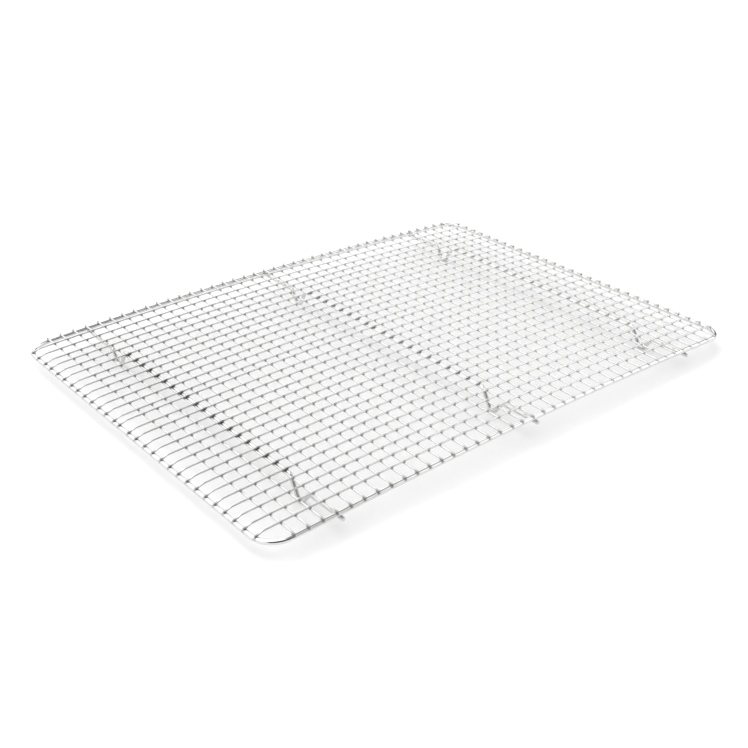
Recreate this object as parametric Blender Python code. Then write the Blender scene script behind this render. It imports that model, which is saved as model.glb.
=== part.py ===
"""A footed wire cooling rack that fits a half-size sheet pan.

A closed frame rod carries a grid of thin wires: the cross wires lie on the frame's long
sides, the long wires lie on the cross wires, and three thicker leg wires hang under the
grid, each bent into a V-shaped foot near its two ends. Everything is resistance welded and
chrome plated. The whole rack is arched a little along its length.

Metres, +Z up. X runs along the rack, Y across it. The origin is on the surface that the
rack stands on, under the middle of the frame.
"""

import math

import bmesh
import bpy
from mathutils import Vector

# Driving dimensions.
OUTER_LENGTH = 0.419
OUTER_WIDTH = 0.304
FRAME_ROD = 0.0034
GRID_WIRE = 0.0013
LEG_WIRE = 0.0028
CORNER_RADIUS = 0.0165  # of the frame rod's centreline
PITCH = 0.0099  # between neighbouring grid wires, both ways
LONG_WIRES = 29
CROSS_WIRES = 40
ARCH_RISE = 0.005  # how much higher the middle of the rack is than its two ends
FOOT_DEPTH = 0.0135  # from a leg wire's straight run down to its foot, centre to centre
LEG_COLUMN_STEP = 16  # cross wires from one leg wire to the next
LEG_SHIFT = -0.0035  # the three legs sit a little towards -Y
CONTACT_GAP = 0.0003  # left between two wires that are welded where they touch

# Shape of the two ends of a leg wire, measured along Y from the leg's middle.
RUN_HALF = 0.0993  # the straight run under the grid ends here
FOOT_START = 0.1071  # the flat bottom of the foot starts here
FOOT_END = 0.1113
ARM_TOP = 0.1181  # the outer arm of the foot turns level here
LEG_BEND = 0.0020  # bend radii
ARM_BEND = 0.0035
LEG_OVERHANG = 0.0012  # how far a leg wire's tips stand out past the frame rod

# Ends of the grid wires.
END_PAST_FRAME = 0.0009  # the wires are cut this far past the frame's centreline
DROOP_LENGTH = 0.0060  # a long wire bends down to the frame over this length

# The first cross wires and the last ones are one solid with the frame that they are welded
# to, which keeps the model within its number of solids.
FIRST_WIRES_ON_FRAME = 7
LAST_WIRES_ON_FRAME = 6

# How finely round things are divided.
ARCH_SEGMENTS = 8
CORNER_SEGMENTS = 8
BEND_SEGMENTS = 3
WIRE_BEVEL = 2  # 8 sides
ROD_BEVEL = 3  # 10 sides
FACET_DOWN = math.radians(22.5)  # turns an 8-sided wire so that one facet faces down

# Worked out from the above.
HALF_LENGTH = (OUTER_LENGTH - FRAME_ROD) / 2  # frame centreline
HALF_WIDTH = (OUTER_WIDTH - FRAME_ROD) / 2
LEG_SPACING = LEG_COLUMN_STEP * PITCH
MIDDLE_COLUMN = 19  # the cross wire beside the middle leg wire, counting from 0
BESIDE_LEG = (LEG_WIRE + GRID_WIRE) / 2 + CONTACT_GAP
RUN_HEIGHT = LEG_WIRE / 2 * math.cos(FACET_DOWN) + FOOT_DEPTH  # the foot's lowest facet is at 0
LONG_OVER_RUN = (LEG_WIRE + GRID_WIRE) / 2 + CONTACT_GAP
CROSS_UNDER_LONG = GRID_WIRE + CONTACT_GAP
FRAME_UNDER_CROSS = (GRID_WIRE + FRAME_ROD) / 2 + CONTACT_GAP
TIP_UNDER_FRAME = (FRAME_ROD + LEG_WIRE) / 2 + CONTACT_GAP
TIP_REACH = HALF_WIDTH + FRAME_ROD / 2 + LEG_OVERHANG


def arch(x):
    """Height of the arch at x, above its height at the two outer legs."""
    return ARCH_RISE * (LEG_SPACING**2 - x**2) / HALF_LENGTH**2


def long_height(x):
    return RUN_HEIGHT + LONG_OVER_RUN + arch(x)


def cross_height(x):
    return long_height(x) - CROSS_UNDER_LONG


def frame_height(x):
    return cross_height(x) - FRAME_UNDER_CROSS


def corner_inset(distance_from_side):
    """How far a rounded corner lies inside the straight side, this far from the next side."""
    into_corner = max(0.0, CORNER_RADIUS - distance_from_side)
    return CORNER_RADIUS - math.sqrt(CORNER_RADIUS**2 - into_corner**2)


def frame_x(y):
    """Distance from the middle to the frame's short sides, at this y."""
    return HALF_LENGTH - corner_inset(HALF_WIDTH - abs(y))


def frame_y(x):
    """Distance from the middle to the frame's long sides, at this x."""
    return HALF_WIDTH - corner_inset(HALF_LENGTH - abs(x))


def long_wire_y(row):
    return (row - (LONG_WIRES - 1) / 2) * PITCH


def cross_wire_x(column):
    return (column - MIDDLE_COLUMN) * PITCH - BESIDE_LEG


def clear_scene():
    for obj in list(bpy.data.objects):
        bpy.data.objects.remove(obj)


def new_collection(name):
    collection = bpy.data.collections.new(name)
    bpy.context.scene.collection.children.link(collection)
    return collection


def chrome(name, colour, roughness):
    material = bpy.data.materials.new(name)
    material.use_nodes = True
    shader = material.node_tree.nodes["Principled BSDF"]
    shader.inputs["Base Color"].default_value = (*colour, 1)
    shader.inputs["Metallic"].default_value = 1
    shader.inputs["Roughness"].default_value = roughness
    return material


def wire(name, collection, points, diameter, bevel, closed=False):
    """A round wire along the points."""
    curve = bpy.data.curves.new(name, "CURVE")
    curve.dimensions = "3D"
    curve.twist_mode = "Z_UP"
    curve.bevel_depth = diameter / 2
    curve.bevel_resolution = bevel
    curve.use_fill_caps = not closed
    spline = curve.splines.new("POLY")
    spline.points.add(len(points) - 1)
    for place, point in zip(spline.points, points):
        place.co = (*point, 1)
        place.tilt = FACET_DOWN
    spline.use_cyclic_u = closed
    spline.use_smooth = True
    obj = bpy.data.objects.new(name, curve)
    collection.objects.link(obj)
    return obj


def as_mesh(obj):
    """The same object with its curve turned into a closed mesh."""
    name = obj.name
    graph = bpy.context.evaluated_depsgraph_get()
    mesh = bpy.data.meshes.new_from_object(obj.evaluated_get(graph))
    form = bmesh.new()
    form.from_mesh(mesh)
    bmesh.ops.remove_doubles(form, verts=form.verts, dist=1e-6)
    form.to_mesh(mesh)
    form.free()
    solid = bpy.data.objects.new(name, mesh)
    solid.matrix_world = obj.matrix_world
    for collection in obj.users_collection:
        collection.objects.link(solid)
    bpy.data.objects.remove(obj)
    solid.name = name
    return solid


def rounded(corners, radii, segments):
    """The open path through the corners, with each inner corner rounded by its radius."""
    path = [corners[0]]
    for before, corner, after, radius in zip(corners, corners[1:], corners[2:], radii):
        back = (before - corner).normalized()
        ahead = (after - corner).normalized()
        half_angle = back.angle(ahead) / 2
        centre = corner + (back + ahead).normalized() * radius / math.sin(half_angle)
        start = corner + back * radius / math.tan(half_angle) - centre
        sweep = math.pi - 2 * half_angle
        axis = start.cross(ahead).normalized()
        for step in range(segments + 1):
            turned = math.cos(sweep * step / segments) * start
            turned += math.sin(sweep * step / segments) * axis.cross(start)
            path.append(centre + turned)
    path.append(corners[-1])
    return path


def frame_path():
    """The frame rod's centreline, once round, starting on the -Y side."""
    plan = []
    straight_x = HALF_LENGTH - CORNER_RADIUS
    straight_y = HALF_WIDTH - CORNER_RADIUS
    for quarter, (side_x, side_y) in enumerate(((1, -1), (1, 1), (-1, 1), (-1, -1))):
        if side_x == -side_y:
            for step in range(1, ARCH_SEGMENTS):
                along = -1 + 2 * step / ARCH_SEGMENTS
                plan.append((side_x * along * straight_x, side_y * HALF_WIDTH))
        for step in range(CORNER_SEGMENTS + 1):
            angle = math.radians(90) * (quarter - 1 + step / CORNER_SEGMENTS)
            x = side_x * straight_x + CORNER_RADIUS * math.cos(angle)
            y = side_y * straight_y + CORNER_RADIUS * math.sin(angle)
            plan.append((x, y))
    return [Vector((x, y, frame_height(x))) for x, y in plan]


def long_wire_path(y):
    """Along the arch over the cross wires, bending down on to the frame at both ends."""
    on_frame = frame_x(y)
    top = on_frame - DROOP_LENGTH
    drop = long_height(on_frame) - (frame_height(on_frame) + FRAME_UNDER_CROSS)
    points = []
    for step in range(ARCH_SEGMENTS + 1):
        x = top * (-1 + 2 * step / ARCH_SEGMENTS)
        points.append(Vector((x, y, long_height(x))))
    for side in (-1, 1):
        rest = Vector((side * on_frame, y, long_height(on_frame) - drop))
        tip = rest + Vector((side * END_PAST_FRAME, 0, -END_PAST_FRAME * drop / DROOP_LENGTH))
        if side > 0:
            points += [rest, tip]
        else:
            points = [tip, rest, *points]
    return points


def cross_wire_path(x):
    """Straight across, lying on the frame's long sides."""
    reach = frame_y(x) + END_PAST_FRAME
    return [Vector((x, side * reach, cross_height(x))) for side in (-1, 1)]


def leg_path(x):
    """A straight run under the grid, a V-shaped foot near each end, and tips under the frame."""
    run = RUN_HEIGHT + arch(x)
    foot = run - FOOT_DEPTH
    tip = frame_height(x) - TIP_UNDER_FRAME
    corners = []
    for side in (-1, 1):
        half = [
            Vector((x, LEG_SHIFT + side * RUN_HALF, run)),
            Vector((x, LEG_SHIFT + side * FOOT_START, foot)),
            Vector((x, LEG_SHIFT + side * FOOT_END, foot)),
            Vector((x, LEG_SHIFT + side * ARM_TOP, tip)),
            Vector((x, side * TIP_REACH, tip)),
        ]
        corners += half if side > 0 else half[::-1]
    bends = [LEG_BEND, LEG_BEND, LEG_BEND, ARM_BEND]
    return rounded(corners, bends[::-1] + bends, BEND_SEGMENTS)


def make_rack():
    parts = new_collection("cooling_rack")
    joined = new_collection("wires_on_frame")
    joined.hide_render = True
    grid_chrome = chrome("grid_chrome", (0.80, 0.81, 0.82), 0.16)
    frame_chrome = chrome("frame_chrome", (0.82, 0.83, 0.84), 0.12)
    leg_chrome = chrome("leg_chrome", (0.70, 0.71, 0.72), 0.20)

    frame = wire("outer_frame", parts, frame_path(), FRAME_ROD, ROD_BEVEL, closed=True)
    frame = as_mesh(frame)
    frame.data.materials.append(frame_chrome)

    for row in range(LONG_WIRES):
        name = f"long_wire_{row + 1:02d}"
        obj = wire(name, parts, long_wire_path(long_wire_y(row)), GRID_WIRE, WIRE_BEVEL)
        obj.data.materials.append(grid_chrome)

    for column in range(CROSS_WIRES):
        x = cross_wire_x(column)
        name = f"cross_wire_{column + 1:02d}"
        on_frame = not FIRST_WIRES_ON_FRAME <= column < CROSS_WIRES - LAST_WIRES_ON_FRAME
        path = cross_wire_path(x)
        if not on_frame:
            obj = wire(name, parts, path, GRID_WIRE, WIRE_BEVEL)
            obj.data.materials.append(grid_chrome)
            continue
        weld_sink = Vector((0, 0, CONTACT_GAP + GRID_WIRE / 4))
        path = [point - weld_sink for point in path]
        obj = as_mesh(wire(name, joined, path, GRID_WIRE, WIRE_BEVEL))
        obj.hide_render = True
        obj.display_type = "WIRE"
        union = frame.modifiers.new(name, "BOOLEAN")
        union.operation = "UNION"
        union.object = obj

    for name, x in (("left", -LEG_SPACING), ("middle", 0), ("right", LEG_SPACING)):
        obj = wire(f"leg_wire_{name}", parts, leg_path(x), LEG_WIRE, WIRE_BEVEL)
        obj.data.materials.append(leg_chrome)


clear_scene()
make_rack()
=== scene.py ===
"""The looks of a footed wire cooling rack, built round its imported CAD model.

Every wire of the rack is modelled here as it is made: drawn round, pressed and swollen where
it is welded to its neighbours, and cut at its ends. The main places and sizes come from the
CAD nodes.

Metres, +Z up. X runs along the rack, Y across it, and the rack stands on Z = 0.
"""

import math
import random
from typing import NamedTuple

import bmesh
import bpy
from mathutils import Matrix, Quaternion, Vector


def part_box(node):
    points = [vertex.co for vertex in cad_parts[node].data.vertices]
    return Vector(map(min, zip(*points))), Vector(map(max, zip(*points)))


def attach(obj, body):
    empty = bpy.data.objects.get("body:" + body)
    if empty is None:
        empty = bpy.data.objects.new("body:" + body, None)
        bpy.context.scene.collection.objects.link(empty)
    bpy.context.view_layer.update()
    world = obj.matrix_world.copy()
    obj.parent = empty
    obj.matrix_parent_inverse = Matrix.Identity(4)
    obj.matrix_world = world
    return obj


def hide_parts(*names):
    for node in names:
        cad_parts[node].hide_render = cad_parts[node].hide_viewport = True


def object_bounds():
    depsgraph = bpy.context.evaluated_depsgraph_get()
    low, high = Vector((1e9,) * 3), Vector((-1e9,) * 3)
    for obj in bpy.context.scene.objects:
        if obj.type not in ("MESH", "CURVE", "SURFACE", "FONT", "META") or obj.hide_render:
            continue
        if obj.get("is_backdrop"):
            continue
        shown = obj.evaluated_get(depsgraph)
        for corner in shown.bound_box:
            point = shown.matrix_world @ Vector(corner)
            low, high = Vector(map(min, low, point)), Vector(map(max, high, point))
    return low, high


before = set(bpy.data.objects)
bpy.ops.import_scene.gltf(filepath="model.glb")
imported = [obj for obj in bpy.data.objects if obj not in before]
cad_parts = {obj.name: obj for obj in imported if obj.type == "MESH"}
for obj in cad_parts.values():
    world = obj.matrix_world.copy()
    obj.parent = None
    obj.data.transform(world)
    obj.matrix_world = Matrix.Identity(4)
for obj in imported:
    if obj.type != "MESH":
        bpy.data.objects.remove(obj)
cad_low, cad_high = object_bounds()

UP = Vector((0, 0, 1))
SIDES = (-1, 1)

# Wires, as in the CAD model.
GRID_WIRE = 0.0013
FRAME_ROD = 0.0034
LEG_WIRE = 0.0028
CORNER_RADIUS = 0.0165
LONG_WIRES = 29
CROSS_WIRES = 40
FIRST_CROSS_NODE = 8  # cross wires 1 to 7 and 35 to 40 are part of the frame's CAD node
LAST_CROSS_NODE = 34
END_PAST_FRAME = 0.0009  # grid wires are cut this far past the frame rod's centreline

# A long wire bends down to the frame over this length, a little shorter than in the CAD model.
DROOP_LENGTH = 0.0055

# A leg wire, as in the CAD model: its shape along Y from its middle, and its bend radii.
LEG_SHIFT = -0.0035  # where its middle is
RUN_HALF = 0.0993
FOOT_START = 0.1071
FOOT_END = 0.1113
ARM_TOP = 0.1181
LEG_BEND = 0.0020
ARM_BEND = 0.0035
LEG_OVERHANG = 0.0012  # its tips stand out this far past the frame rod

# Cut ends: one more ring rounds them off. Both are shares of the wire's diameter.
TIP_LENGTH = 0.08
TIP_WIDTH = 0.80

# Welds.
WELD_SINK = 0.0002  # how far two welded wires are pressed into each other
GRID_WELD_REACH = 0.0009  # from the middle of a weld to where the wire is round again
ROD_WELD_REACH = 0.0014
LEG_WELD_REACH = 0.0015
WELD_SPREAD = 0.38  # how much wider a wire gets at a weld
WELD_FLAT = 0.08  # and how much lower

# The dark spots of the welds: heat tint from welding and painted shade where the wires cross and
# touch.
SCORCH_AND_SHADE_REACH = 2.0  # how far along the wire a dark weld spot goes, in reaches of its weld
GRID_SCORCH_AND_SHADE = 0.56  # how dark the weld spots are, from 0 to 1: heat tint and painted shade together
# The frame rod's, legs' and tips' weld spots are heat tint and painted shade too; the legs' are
# the darkest, with the most painted shade.
ROD_SCORCH_AND_SHADE = 0.62
LEG_SCORCH_AND_SHADE = 1.0
TIP_SCORCH_AND_SHADE = 0.25
GRID_PAINTED_SHADE_ONE_SIDED = 0.2  # how much lighter a weld spot is on the wire's side away from the weld, as painted shade gathers in the crease where the wires touch
LEG_PAINTED_SHADE_ONE_SIDED = 0.4
ROD_PAINTED_SHADE_ONE_SIDED = 1.0
PAINTED_SHADE_LEVELS = (-0.2, 0.8)  # levels of the wire between which the painted shade darkens towards the crease at the weld
PAINTED_LIGHT_FADE = 0.66  # how much fainter the weld spots are at the right end of the rack: painted light, lighter towards the right
PAINTED_LIGHT_FADE_START = -0.12
PAINTED_LIGHT_FADE_LENGTH = 0.24

# How finely wires are divided.
GRID_SIDES = 12
ROD_SIDES = 24
LEG_SIDES = 20
RING_SPACING = 0.0060
RING_LEAST_GAP = 0.0001
WELD_RINGS = (-1.7, -1, -0.5, 0, 0.5, 1, 1.7)  # rings of a wire at a weld, in reaches
DROOP_RINGS = (1, 0.75, 0.5, 0.25)  # in droop lengths from the frame
CORNER_SEGMENTS = 24
BEND_SEGMENTS = 7
SHARP_EDGE = math.radians(50)

# Wires that were welded a little out of line: their offsets at the two ends.
STRAIGHT = (0.0, 0.0)
LONG_WIRES_OUT_OF_LINE = {
    14: (0.0007, 0.0002),
    16: (0.0020, 0.0004),
    17: (-0.0009, 0.0002),
    23: (-0.0009, -0.0002),
    27: (-0.0010, -0.0006),
}
CROSS_WIRES_OUT_OF_LINE = {
    9: (0.0005, 0.0005),
    13: (-0.0006, -0.0006),
    18: (0.0008, 0.0006),
    27: (-0.0011, -0.0011),
    37: (-0.0005, -0.0005),
}
WANDER = 0.00012  # how far any grid wire may bow sideways
CROSS_SEEDS = 100  # the cross wires' random seeds come after this one


def middle(node):
    low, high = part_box(node)
    return (low + high) / 2


# Places in the frame.
PITCH = (middle("long_wire_29").y - middle("long_wire_01").y) / (LONG_WIRES - 1)
LEG_X = {name: middle(f"leg_wire_{name}").x for name in ("left", "middle", "right")}
rod_low, rod_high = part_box("outer_frame")
HALF_LENGTH = (rod_high.x - rod_low.x - FRAME_ROD) / 2
HALF_WIDTH = (rod_high.y - rod_low.y - FRAME_ROD) / 2
inner_cross = middle("cross_wire_20")
outer_cross = middle(f"cross_wire_{FIRST_CROSS_NODE:02d}")
ARCH = (inner_cross.z - outer_cross.z) / (outer_cross.x**2 - inner_cross.x**2)
CROWN = inner_cross.z + ARCH * inner_cross.x**2


def cross_height(x):
    return CROWN - ARCH * x**2


def long_height(x):
    return cross_height(x) + GRID_WIRE - WELD_SINK


def frame_height(x):
    return cross_height(x) - (GRID_WIRE + FRAME_ROD) / 2 + WELD_SINK


def corner_inset(distance_from_side):
    """How far a rounded corner lies inside the straight side, this far from the next side."""
    into_corner = max(0.0, CORNER_RADIUS - distance_from_side)
    return CORNER_RADIUS - math.sqrt(CORNER_RADIUS**2 - into_corner**2)


def frame_x(y):
    return HALF_LENGTH - corner_inset(HALF_WIDTH - abs(y))


def frame_y(x):
    return HALF_WIDTH - corner_inset(HALF_LENGTH - abs(x))


def smooth_step(share):
    share = min(1.0, max(0.0, share))
    return share * share * (3 - 2 * share)


class Bow:
    """How far a wire lies out of its line, at any place along it."""

    def __init__(self, seed, half, ends):
        draw = random.Random(seed)
        self.half = half
        self.ends = ends
        self.size = draw.uniform(-WANDER, WANDER)
        self.phase = draw.uniform(0, 2 * math.pi)
        self.half_turns = draw.uniform(1.0, 2.5)

    def at(self, place):
        share = (place / self.half + 1) / 2
        line = self.ends[0] * (1 - share) + self.ends[1] * share
        return line + self.size * math.sin(self.phase + self.half_turns * math.pi * share)


LONG_BOWS = {
    number: Bow(number, HALF_LENGTH, LONG_WIRES_OUT_OF_LINE.get(number, STRAIGHT))
    for number in range(1, LONG_WIRES + 1)
}
CROSS_BOWS = {
    number: Bow(CROSS_SEEDS + number, HALF_WIDTH, CROSS_WIRES_OUT_OF_LINE.get(number, STRAIGHT))
    for number in range(1, CROSS_WIRES + 1)
}


def long_wire_y(number, x):
    return (number - (LONG_WIRES + 1) / 2) * PITCH + LONG_BOWS[number].at(x)


def cross_wire_x(number, y):
    return outer_cross.x + (number - FIRST_CROSS_NODE) * PITCH + CROSS_BOWS[number].at(y)


# Paths that wires follow.


def walk(points):
    """A function from a distance along the points to a place, and the points' distances."""
    distances = [0.0]
    for before, after in zip(points, points[1:]):
        distances.append(distances[-1] + (after - before).length)

    def point_at(distance):
        for index in range(1, len(points)):
            if distance <= distances[index] or index == len(points) - 1:
                stretch = distances[index] - distances[index - 1]
                share = (distance - distances[index - 1]) / stretch
                return points[index - 1].lerp(points[index], share)

    return point_at, distances


def nearest_distance(points, distances, x, y):
    """The distance along the points of the place on them that is nearest in plan."""
    place = Vector((x, y))
    best = None
    for index in range(1, len(points)):
        start = points[index - 1].xy
        stretch = points[index].xy - start
        share = (place - start).dot(stretch) / stretch.length_squared
        share = min(1.0, max(0.0, share))
        gap = (start + share * stretch - place).length
        if best is None or gap < best[0]:
            length = distances[index] - distances[index - 1]
            best = (gap, distances[index - 1] + share * length)
    return best[1]


def rounded(corners, radii):
    """The open path through the corners, with each inner corner rounded by its radius."""
    path = [corners[0]]
    for before, corner, after, radius in zip(corners, corners[1:], corners[2:], radii):
        back = (before - corner).normalized()
        ahead = (after - corner).normalized()
        half_angle = back.angle(ahead) / 2
        centre = corner + (back + ahead).normalized() * radius / math.sin(half_angle)
        start = corner + back * radius / math.tan(half_angle) - centre
        axis = start.cross(ahead).normalized()
        sweep = math.pi - 2 * half_angle
        for step in range(BEND_SEGMENTS + 1):
            turn = Quaternion(axis, sweep * step / BEND_SEGMENTS)
            path.append(centre + turn @ start)
    path.append(corners[-1])
    return path


# Making one wire.


class Weld(NamedTuple):
    """Where along a wire a weld is, how far it goes and how dark its spot of heat tint and painted
    shade is.
    """

    place: float
    reach: float
    scorch_and_shade: float

    def swell_at(self, place):
        """1 in the middle of the weld, 0 where the wire is round again."""
        return self.bump((place - self.place) / self.reach)

    def scorch_and_shade_at(self, place):
        return self.scorch_and_shade * self.bump((place - self.place) / (self.reach * SCORCH_AND_SHADE_REACH))

    @staticmethod
    def bump(share):
        return (1 - share**2) ** 2 if abs(share) < 1 else 0.0


class Ring(NamedTuple):
    """One ring of a wire, with the swelling of the welds above and below it, and their spots of
    heat tint and painted shade.
    """

    centre: Vector
    width: float
    swell_above: float
    swell_below: float
    scorch_and_shade_above: float
    scorch_and_shade_below: float


def ring_places(start, end, welds, bends=()):
    """Where a wire gets its rings: at its bends, round each weld and between them."""
    places = {start, end, *bends}
    for weld in welds:
        places.update(weld.place + offset * weld.reach for offset in WELD_RINGS)
    places = sorted(place for place in places if start <= place <= end)
    spaced = [places[0]]
    for place in places[1:]:
        before = spaced[-1]
        gap = place - before
        if gap < RING_LEAST_GAP:
            continue
        steps = math.ceil(gap / RING_SPACING)
        spaced += [before + gap * step / steps for step in range(1, steps + 1)]
    return spaced


def ring_at(place, point_at, welds_above, welds_below):
    return Ring(
        centre=point_at(place),
        width=1.0,
        swell_above=max((weld.swell_at(place) for weld in welds_above), default=0),
        swell_below=max((weld.swell_at(place) for weld in welds_below), default=0),
        scorch_and_shade_above=max((weld.scorch_and_shade_at(place) for weld in welds_above), default=0),
        scorch_and_shade_below=max((weld.scorch_and_shade_at(place) for weld in welds_below), default=0),
    )


def tip(last, inner, diameter):
    """The smaller ring that rounds off a cut end, just past its last ring."""
    step = (last.centre - inner.centre).normalized() * diameter * TIP_LENGTH
    return last._replace(centre=last.centre + step, width=TIP_WIDTH)


def painted_light_fade_at(x):
    """How much of a weld spot is left to be seen, this far along the rack: painted light that
    makes the spots fainter towards the right end.
    """
    return 1 - PAINTED_LIGHT_FADE * smooth_step((x - PAINTED_LIGHT_FADE_START) / PAINTED_LIGHT_FADE_LENGTH)


def painted_crease_shade(level, painted_shade_one_sided):
    """How much of a weld spot reaches this level of a wire, from -1 away from the weld to 1 at it:
    painted shade, darker towards the crease where the wires touch.
    """
    low, high = PAINTED_SHADE_LEVELS
    return 1 - painted_shade_one_sided * (1 - smooth_step((level - low) / (high - low)))


def add_ring(form, ring, along, diameter, sides, painted_shade_one_sided):
    """The vertices of one ring, square to the wire."""
    # The weld layer holds how dark each vertex is from the welds: heat tint and painted shade.
    scorch_and_shade = form.verts.layers.float["weld"]
    across = along.cross(UP).normalized()
    lift = across.cross(along)
    radius = diameter / 2 * ring.width
    verts = []
    for side in range(sides):
        angle = 2 * math.pi * (side + 0.5) / sides
        level = math.sin(angle)
        swell = ring.swell_above if level > 0 else ring.swell_below
        sideways = math.cos(angle) * (1 + WELD_SPREAD * swell * abs(level))
        height = level * (1 - WELD_FLAT * swell)
        vert = form.verts.new(ring.centre + radius * (sideways * across + height * lift))
        # Each vertex's darkness: heat tint and painted shade from the welds, with painted shade
        # towards the crease and painted light towards the right end.
        vert[scorch_and_shade] = painted_light_fade_at(ring.centre.x) * max(
            ring.scorch_and_shade_above * painted_crease_shade(level, painted_shade_one_sided),
            ring.scorch_and_shade_below * painted_crease_shade(-level, painted_shade_one_sided),
        )
        verts.append(vert)
    return verts


def join_rings(form, loops, closed):
    """The faces between the rings, and the two end faces of an open wire."""
    pairs = list(zip(loops, loops[1:]))
    if closed:
        pairs.append((loops[-1], loops[0]))
    for loop, following in pairs:
        sides = len(loop)
        for side in range(sides):
            beside = (side + 1) % sides
            form.faces.new((loop[side], loop[beside], following[beside], following[side]))
    if not closed:
        form.faces.new(loops[0])
        form.faces.new(reversed(loops[-1]))


def wire(name, rings, diameter, sides, painted_shade_one_sided, closed=False):
    """A wire as one closed mesh. Its "weld" attribute says where the welds darken it with heat
    tint and painted shade.
    """
    if not closed:
        first = tip(rings[0], rings[1], diameter)
        last = tip(rings[-1], rings[-2], diameter)
        rings = [first, *rings, last]
    form = bmesh.new()
    form.verts.layers.float.new("weld")
    loops = []
    count = len(rings)
    for index, ring in enumerate(rings):
        before = rings[index - 1] if closed or index > 0 else ring
        after = rings[(index + 1) % count] if closed or index < count - 1 else ring
        along = (after.centre - before.centre).normalized()
        loops.append(add_ring(form, ring, along, diameter, sides, painted_shade_one_sided))
    join_rings(form, loops, closed)
    bmesh.ops.recalc_face_normals(form, faces=form.faces)
    mesh = bpy.data.meshes.new(name)
    form.to_mesh(mesh)
    form.free()
    mesh.shade_smooth()
    mesh.set_sharp_from_angle(angle=SHARP_EDGE)
    obj = bpy.data.objects.new(name, mesh)
    bpy.context.scene.collection.objects.link(obj)
    return obj


# The wires of the rack.


def long_wire(number):
    """Along the arch, bending down at both ends on to the frame's short sides."""
    reach = frame_x(long_wire_y(number, HALF_LENGTH))
    rest = frame_height(reach) + (FRAME_ROD + GRID_WIRE) / 2 - WELD_SINK
    drop = long_height(reach) - rest

    def point_at(x):
        bend = smooth_step((abs(x) - (reach - DROOP_LENGTH)) / DROOP_LENGTH)
        return Vector((x, long_wire_y(number, x), long_height(x) - drop * bend))

    row = long_wire_y(number, 0)
    crossings = [cross_wire_x(cross, row) for cross in range(1, CROSS_WIRES + 1)]
    below = [Weld(x, GRID_WELD_REACH, GRID_SCORCH_AND_SHADE) for x in crossings]
    below += [Weld(side * reach, ROD_WELD_REACH, ROD_SCORCH_AND_SHADE) for side in SIDES]
    if abs(row - LEG_SHIFT) < RUN_HALF:
        below += [Weld(x, LEG_WELD_REACH, LEG_SCORCH_AND_SHADE) for x in LEG_X.values()]
    end = reach + END_PAST_FRAME
    bends = [side * (reach - DROOP_LENGTH * share) for side in SIDES for share in DROOP_RINGS]
    rings = [ring_at(x, point_at, [], below) for x in ring_places(-end, end, below, bends)]
    obj = wire(f"long_wire_{number:02d}_welded", rings, GRID_WIRE, GRID_SIDES, GRID_PAINTED_SHADE_ONE_SIDED)
    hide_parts(f"long_wire_{number:02d}")
    return obj


def cross_wire(number):
    """Straight across under the long wires, its ends on the frame's long sides."""
    x_middle = cross_wire_x(number, 0)
    reach = frame_y(x_middle)

    def point_at(y):
        return Vector((cross_wire_x(number, y), y, cross_height(x_middle)))

    crossings = [long_wire_y(row, x_middle) for row in range(1, LONG_WIRES + 1)]
    above = [Weld(y, GRID_WELD_REACH, GRID_SCORCH_AND_SHADE) for y in crossings]
    below = [Weld(side * reach, ROD_WELD_REACH, ROD_SCORCH_AND_SHADE) for side in SIDES]
    end = reach + END_PAST_FRAME
    rings = [ring_at(y, point_at, above, below) for y in ring_places(-end, end, above + below)]
    obj = wire(f"cross_wire_{number:02d}_welded", rings, GRID_WIRE, GRID_SIDES, GRID_PAINTED_SHADE_ONE_SIDED)
    if FIRST_CROSS_NODE <= number <= LAST_CROSS_NODE:
        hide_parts(f"cross_wire_{number:02d}")
    return obj


def leg_wire(name):
    """A run under the long wires, a V-shaped foot near each end, and tips under the frame."""
    x = LEG_X[name]
    run = long_height(x) - (LEG_WIRE + GRID_WIRE) / 2 + WELD_SINK
    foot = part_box(f"leg_wire_{name}")[0].z + LEG_WIRE / 2
    arm = frame_height(x) - (FRAME_ROD + LEG_WIRE) / 2 + WELD_SINK
    corners = []
    for side in SIDES:
        half = [
            Vector((x, LEG_SHIFT + side * RUN_HALF, run)),
            Vector((x, LEG_SHIFT + side * FOOT_START, foot)),
            Vector((x, LEG_SHIFT + side * FOOT_END, foot)),
            Vector((x, LEG_SHIFT + side * ARM_TOP, arm)),
            Vector((x, side * (HALF_WIDTH + FRAME_ROD / 2 + LEG_OVERHANG), arm)),
        ]
        corners += half if side > 0 else half[::-1]
    bends = [LEG_BEND, LEG_BEND, LEG_BEND, ARM_BEND]
    points = rounded(corners, bends[::-1] + bends)
    point_at, distances = walk(points)

    rows = [long_wire_y(number, x) for number in range(1, LONG_WIRES + 1)]
    scorch_and_shade_spots = [(y, LEG_SCORCH_AND_SHADE) for y in rows if abs(y - LEG_SHIFT) < RUN_HALF - LEG_BEND]
    scorch_and_shade_spots += [(side * HALF_WIDTH, TIP_SCORCH_AND_SHADE) for side in SIDES]
    above = [
        Weld(nearest_distance(points, distances, x, y), GRID_WELD_REACH, scorch_and_shade) for y, scorch_and_shade in scorch_and_shade_spots
    ]
    places = ring_places(0, distances[-1], above, distances)
    rings = [ring_at(place, point_at, above, []) for place in places]
    obj = wire(f"leg_wire_{name}_welded", rings, LEG_WIRE, LEG_SIDES, LEG_PAINTED_SHADE_ONE_SIDED)
    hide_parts(f"leg_wire_{name}")
    return obj


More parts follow.
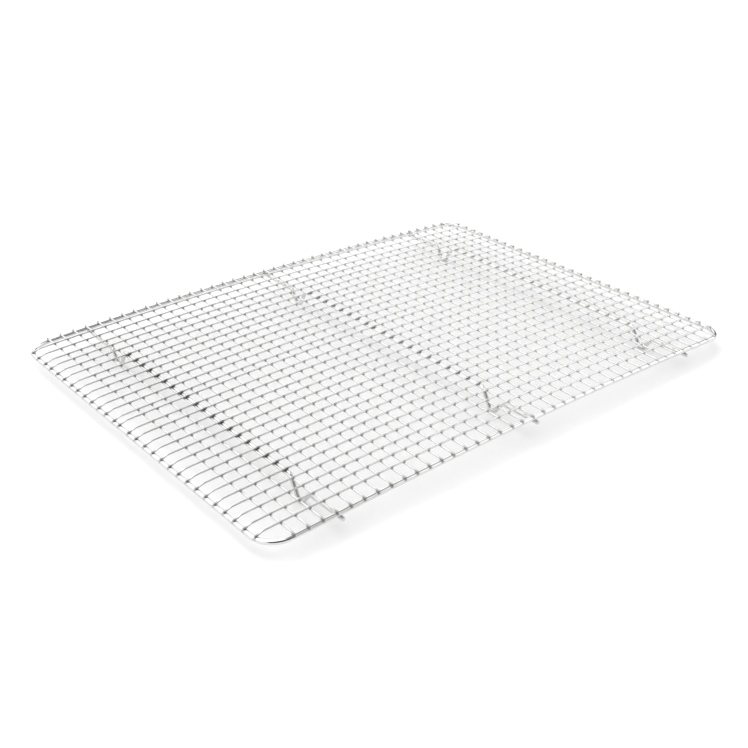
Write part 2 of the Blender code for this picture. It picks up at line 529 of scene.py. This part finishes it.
def frame_rod():
    """The closed rod round the rack, with rounded corners and the arch."""
    points = []
    for quarter, (side_x, side_y) in enumerate(((1, -1), (1, 1), (-1, 1), (-1, -1))):
        for step in range(CORNER_SEGMENTS + 1):
            angle = math.radians(90) * (quarter - 1 + step / CORNER_SEGMENTS)
            x = side_x * (HALF_LENGTH - CORNER_RADIUS) + CORNER_RADIUS * math.cos(angle)
            y = side_y * (HALF_WIDTH - CORNER_RADIUS) + CORNER_RADIUS * math.sin(angle)
            points.append(Vector((x, y, 0)))
    points.append(points[0])
    flat_at, distances = walk(points)

    def point_at(distance):
        point = flat_at(distance)
        point.z = frame_height(point.x)
        return point

    ends = []
    for number in range(1, LONG_WIRES + 1):
        for side in SIDES:
            y = long_wire_y(number, side * HALF_LENGTH)
            ends.append((side * frame_x(y), y))
    for number in range(1, CROSS_WIRES + 1):
        for side in SIDES:
            x = cross_wire_x(number, side * HALF_WIDTH)
            ends.append((x, side * frame_y(x)))
    legs = [(x, side * HALF_WIDTH) for x in LEG_X.values() for side in SIDES]
    above = [
        Weld(nearest_distance(points, distances, x, y), GRID_WELD_REACH, ROD_SCORCH_AND_SHADE) for x, y in ends
    ]
    below = [
        Weld(nearest_distance(points, distances, x, y), LEG_WELD_REACH, TIP_SCORCH_AND_SHADE) for x, y in legs
    ]
    places = ring_places(0, distances[-1], above + below, distances)[:-1]
    rings = [ring_at(place, point_at, above, below) for place in places]
    obj = wire("frame_rod", rings, FRAME_ROD, ROD_SIDES, ROD_PAINTED_SHADE_ONE_SIDED, closed=True)
    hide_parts("outer_frame")
    return obj


# Materials.

SCORCH_AND_CONTACT_SHADE = (0.06, 0.058, 0.055)  # the colour of the darkest weld spots, heat tint and painted shade together
SCORCH_ROUGHNESS = 0.35  # added to the plate's
CLOUD_SCALE = 160  # slow changes in the plate's brightness, between two shares of its colour
CLOUD_DARK = 0.86
CLOUD_LIGHT = 1.10
DRAWING_SCALE = 2600  # fine lines from drawing the wire
DRAWING_CONTRAST = (0.3, 0.7)
DRAWING_ROUGHNESS = (0.7, 1.5)  # shares of the plate's roughness
DRAWING_STRENGTH = 0.25
DRAWING_DEPTH = 0.00003


class Nodes:
    """A short way to add and join the nodes of one material or world."""

    def __init__(self, tree):
        self.tree = tree

    def add(self, kind, values=None, **settings):
        node = self.tree.nodes.new(kind)
        for key, value in settings.items():
            setattr(node, key, value)
        for key, value in (values or {}).items():
            node.inputs[key].default_value = value
        return node

    def join(self, source, target):
        self.tree.links.new(source, target)

    def math(self, operation, first, second):
        """A socket with the outcome of an operation on two sockets."""
        node = self.add("ShaderNodeMath", operation=operation)
        self.join(first, node.inputs[0])
        self.join(second, node.inputs[1])
        return node.outputs["Value"]

    def fade(self, value, start, end, low=0, high=1):
        """A socket with low up to the start, high from the end on, and a smooth change between."""
        values = {"From Min": start, "From Max": end, "To Min": low, "To Max": high}
        node = self.add("ShaderNodeMapRange", values, interpolation_type="SMOOTHSTEP")
        self.join(value, node.inputs["Value"])
        return node.outputs["Result"]


def chrome(name, plating, roughness, grain):
    """Bright chrome plate on drawn steel wire, dull and dark at the welds, where heat tint and
    painted shade darken it.

    grain stretches the fine drawing lines along the wire."""
    material = bpy.data.materials.new(name)
    material.use_nodes = True
    nodes = Nodes(material.node_tree)
    shader = material.node_tree.nodes["Principled BSDF"]
    shader.inputs["Metallic"].default_value = 1
    place = nodes.add("ShaderNodeTexCoord")
    # The weld attribute holds the dark weld spots per vertex: heat tint, painted shade at the
    # crossings and painted light towards the right end.
    weld = nodes.add("ShaderNodeAttribute", attribute_name="weld")

    # The clouded plate, and over it the dark weld spots, which are heat tint and painted shade.
    cloud = nodes.add("ShaderNodeTexNoise", {"Scale": CLOUD_SCALE, "Detail": 3})
    nodes.join(place.outputs["Object"], cloud.inputs["Vector"])
    dark = [part * CLOUD_DARK for part in plating]
    light = [min(1, part * CLOUD_LIGHT) for part in plating]
    tone = nodes.add("ShaderNodeMixRGB", {"Color1": (*dark, 1), "Color2": (*light, 1)})
    nodes.join(cloud.outputs["Fac"], tone.inputs["Fac"])
    scorch_and_shade_tint = nodes.add("ShaderNodeMixRGB", {"Color2": (*SCORCH_AND_CONTACT_SHADE, 1)})
    nodes.join(weld.outputs["Fac"], scorch_and_shade_tint.inputs["Fac"])
    nodes.join(tone.outputs["Color"], scorch_and_shade_tint.inputs["Color1"])
    nodes.join(scorch_and_shade_tint.outputs["Color"], shader.inputs["Base Color"])

    # Drawing lines, which show in the gloss and as a faint relief.
    stretched = nodes.add("ShaderNodeMapping", {"Scale": grain})
    lines = nodes.add("ShaderNodeTexNoise", {"Scale": DRAWING_SCALE, "Detail": 2})
    nodes.join(place.outputs["Object"], stretched.inputs["Vector"])
    nodes.join(stretched.outputs["Vector"], lines.inputs["Vector"])
    gloss = nodes.add("ShaderNodeMapRange", {
        "From Min": DRAWING_CONTRAST[0],
        "From Max": DRAWING_CONTRAST[1],
        "To Min": roughness * DRAWING_ROUGHNESS[0],
        "To Max": roughness * DRAWING_ROUGHNESS[1],
    })
    nodes.join(lines.outputs["Fac"], gloss.inputs["Value"])
    duller = nodes.add("ShaderNodeMath", {1: SCORCH_ROUGHNESS}, operation="MULTIPLY_ADD")
    nodes.join(weld.outputs["Fac"], duller.inputs[0])
    nodes.join(gloss.outputs["Result"], duller.inputs[2])
    nodes.join(duller.outputs["Value"], shader.inputs["Roughness"])
    relief = nodes.add("ShaderNodeBump", {"Strength": DRAWING_STRENGTH, "Distance": DRAWING_DEPTH})
    nodes.join(lines.outputs["Fac"], relief.inputs["Height"])
    nodes.join(relief.outputs["Normal"], shader.inputs["Normal"])
    return material


FLOOR_TONE = 0.90
FLOOR_CLOUD = 0.99  # the darker patches, as a share of the tone
FLOOR_ROUGHNESS = 0.8


def floor_paint():
    """Plain and pale, very slightly uneven in tone."""
    material = bpy.data.materials.new("floor_paint")
    material.use_nodes = True
    nodes = Nodes(material.node_tree)
    shader = material.node_tree.nodes["Principled BSDF"]
    shader.inputs["Roughness"].default_value = FLOOR_ROUGHNESS
    cloud = nodes.add("ShaderNodeTexNoise", {"Scale": 3, "Detail": 2})
    dark = [FLOOR_TONE * FLOOR_CLOUD] * 3
    light = [FLOOR_TONE] * 3
    tone = nodes.add("ShaderNodeMixRGB", {"Color1": (*dark, 1), "Color2": (*light, 1)})
    nodes.join(cloud.outputs["Fac"], tone.inputs["Fac"])
    nodes.join(tone.outputs["Color"], shader.inputs["Base Color"])
    return material


# The studio.

CAMERA_AZIMUTH = math.radians(-41.4)
CAMERA_ELEVATION = math.radians(28.42)
CAMERA_ROLL = math.radians(1.25)
CAMERA_DISTANCE = 0.7506
CAMERA_AIM = Vector((-0.0299, -0.0523, 0.0165))
CAMERA_LENS = 52.8
CAMERA_SHIFT = -0.0346

FLOOR_SIZE = 12

KEY_PLACE = Vector((-0.6, 0.2, 2.6))
KEY_WIDTH = 2.4
KEY_HEIGHT = 2.2
KEY_POWER = 18

STUDIO_BRIGHT = 1.67
STUDIO_DARK = 0.06
BACKDROP = 1.0  # as white as the far floor

# All round between the floor and the lights: how dark, and between which sines of the
# elevation the dark fades.
HORIZON_DARK = 0.62
HORIZON_FULL = 0.08
HORIZON_TOP = 0.32


class Screen(NamedTuple):
    """A dark screen that stands at the side of the studio."""

    bearing: float  # from -Y towards +X
    half_width: float
    edge: float  # over how much more width it fades
    full: float  # the sines of the elevations between which it fades upwards
    top: float


SCREENS = (
    Screen(math.radians(-16), math.radians(38), math.radians(19), 0.72, 0.95),
    Screen(math.radians(112), math.radians(13), math.radians(13), 0.36, 0.58),
)

# A dark panel under the ceiling, to the right of the rack.
PANEL_WAY = Vector((0.35, -0.06, 0.93)).normalized()
PANEL_RADIUS = math.radians(14)
PANEL_EDGE = math.radians(13)


def add_camera():
    back = Vector((
        math.sin(CAMERA_AZIMUTH) * math.cos(CAMERA_ELEVATION),
        -math.cos(CAMERA_AZIMUTH) * math.cos(CAMERA_ELEVATION),
        math.sin(CAMERA_ELEVATION),
    ))
    data = bpy.data.cameras.new("camera")
    data.lens = CAMERA_LENS
    data.shift_x = CAMERA_SHIFT
    data.clip_start = 0.01
    data.clip_end = 50
    camera = bpy.data.objects.new("camera", data)
    bpy.context.scene.collection.objects.link(camera)
    turn = (-back).to_track_quat("-Z", "Y") @ Quaternion((0, 0, 1), CAMERA_ROLL)
    camera.matrix_world = Matrix.LocRotScale(CAMERA_AIM + back * CAMERA_DISTANCE, turn, None)
    bpy.context.scene.camera = camera


def add_floor():
    form = bmesh.new()
    bmesh.ops.create_grid(form, x_segments=4, y_segments=4, size=FLOOR_SIZE / 2)
    mesh = bpy.data.meshes.new("floor")
    form.to_mesh(mesh)
    form.free()
    floor = bpy.data.objects.new("floor", mesh)
    bpy.context.scene.collection.objects.link(floor)
    mesh.materials.append(floor_paint())
    floor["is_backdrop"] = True


def below_height(nodes, direction, full, top, most=1):
    """A socket with the most below the full height, and 0 above the top."""
    parts = nodes.add("ShaderNodeSeparateXYZ")
    nodes.join(direction, parts.inputs["Vector"])
    return nodes.fade(parts.outputs["Z"], full, top, most, 0)


def round_way(nodes, direction, way, radius, edge):
    """A socket with 1 within the radius of a way, and 0 past the edge."""
    facing = nodes.add("ShaderNodeVectorMath", {1: way}, operation="DOT_PRODUCT")
    nodes.join(direction, facing.inputs[0])
    return nodes.fade(facing.outputs["Value"], math.cos(radius + edge), math.cos(radius))


def behind_screen(nodes, direction, screen):
    """A socket with 1 where the screen hides the bright studio, and 0 beside it."""
    level = nodes.add("ShaderNodeVectorMath", {1: (1, 1, 0)}, operation="MULTIPLY")
    nodes.join(direction, level.inputs[0])
    heading = nodes.add("ShaderNodeVectorMath", operation="NORMALIZE")
    nodes.join(level.outputs["Vector"], heading.inputs[0])
    way = (math.sin(screen.bearing), -math.cos(screen.bearing), 0)
    width = round_way(nodes, heading.outputs["Vector"], way, screen.half_width, screen.edge)
    return nodes.math("MULTIPLY", width, below_height(nodes, direction, screen.full, screen.top))


def add_studio():
    """A bright studio with a dark horizon, dark screens and a panel, which the wires mirror."""
    world = bpy.data.worlds.new("studio")
    bpy.context.scene.world = world
    world.use_nodes = True
    nodes = Nodes(world.node_tree)
    background = world.node_tree.nodes["Background"]
    direction = nodes.add("ShaderNodeTexCoord").outputs["Generated"]
    dark = below_height(nodes, direction, HORIZON_FULL, HORIZON_TOP, HORIZON_DARK)
    for screen in SCREENS:
        dark = nodes.math("MAXIMUM", dark, behind_screen(nodes, direction, screen))
    panel = round_way(nodes, direction, PANEL_WAY, PANEL_RADIUS, PANEL_EDGE)
    dark = nodes.math("MAXIMUM", dark, panel)
    light = nodes.add("ShaderNodeMapRange", {"To Min": STUDIO_BRIGHT, "To Max": STUDIO_DARK})
    nodes.join(dark, light.inputs["Value"])
    seen = nodes.add("ShaderNodeLightPath")
    choice = nodes.add("ShaderNodeMix", {"B": BACKDROP}, data_type="FLOAT")
    nodes.join(seen.outputs["Is Camera Ray"], choice.inputs["Factor"])
    nodes.join(light.outputs["Result"], choice.inputs["A"])
    nodes.join(choice.outputs["Result"], background.inputs["Strength"])
    background.inputs["Color"].default_value = (1, 1, 1, 1)


def add_key_light():
    """A large softbox over the rack, turned to the middle of it."""
    data = bpy.data.lights.new("key_light", "AREA")
    data.shape = "RECTANGLE"
    data.size = KEY_WIDTH
    data.size_y = KEY_HEIGHT
    data.energy = KEY_POWER
    light = bpy.data.objects.new("key_light", data)
    bpy.context.scene.collection.objects.link(light)
    turn = (-KEY_PLACE).to_track_quat("-Z", "Y")
    light.matrix_world = Matrix.LocRotScale(KEY_PLACE, turn, None)


grid_along = chrome("grid_chrome_along", (0.72, 0.72, 0.715), 0.20, grain=(0.02, 1, 1))
grid_across = chrome("grid_chrome_across", (0.68, 0.68, 0.675), 0.20, grain=(1, 0.02, 1))
rod_chrome = chrome("frame_chrome", (0.74, 0.74, 0.735), 0.14, grain=(0.2, 0.2, 1))
leg_chrome = chrome("leg_chrome", (0.66, 0.66, 0.655), 0.20, grain=(1, 0.05, 0.2))

made = [(long_wire(number), grid_along, "grid_chrome") for number in range(1, LONG_WIRES + 1)]
made += [(cross_wire(number), grid_across, "grid_chrome") for number in range(1, CROSS_WIRES + 1)]
made += [(leg_wire(name), leg_chrome, "leg_chrome") for name in LEG_X]
made.append((frame_rod(), rod_chrome, "frame_chrome"))
for obj, material, slot in made:
    obj.data.materials.append(material)
    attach(obj, "root")

add_floor()
add_studio()
add_key_light()
add_camera()
bpy.context.scene.view_settings.view_transform = "Standard"

seen_low, seen_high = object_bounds()
boxes = {"cad": [cad_low, cad_high], "visual": [seen_low, seen_high]}
{name: [list(corner) for corner in box] for name, box in boxes.items()}
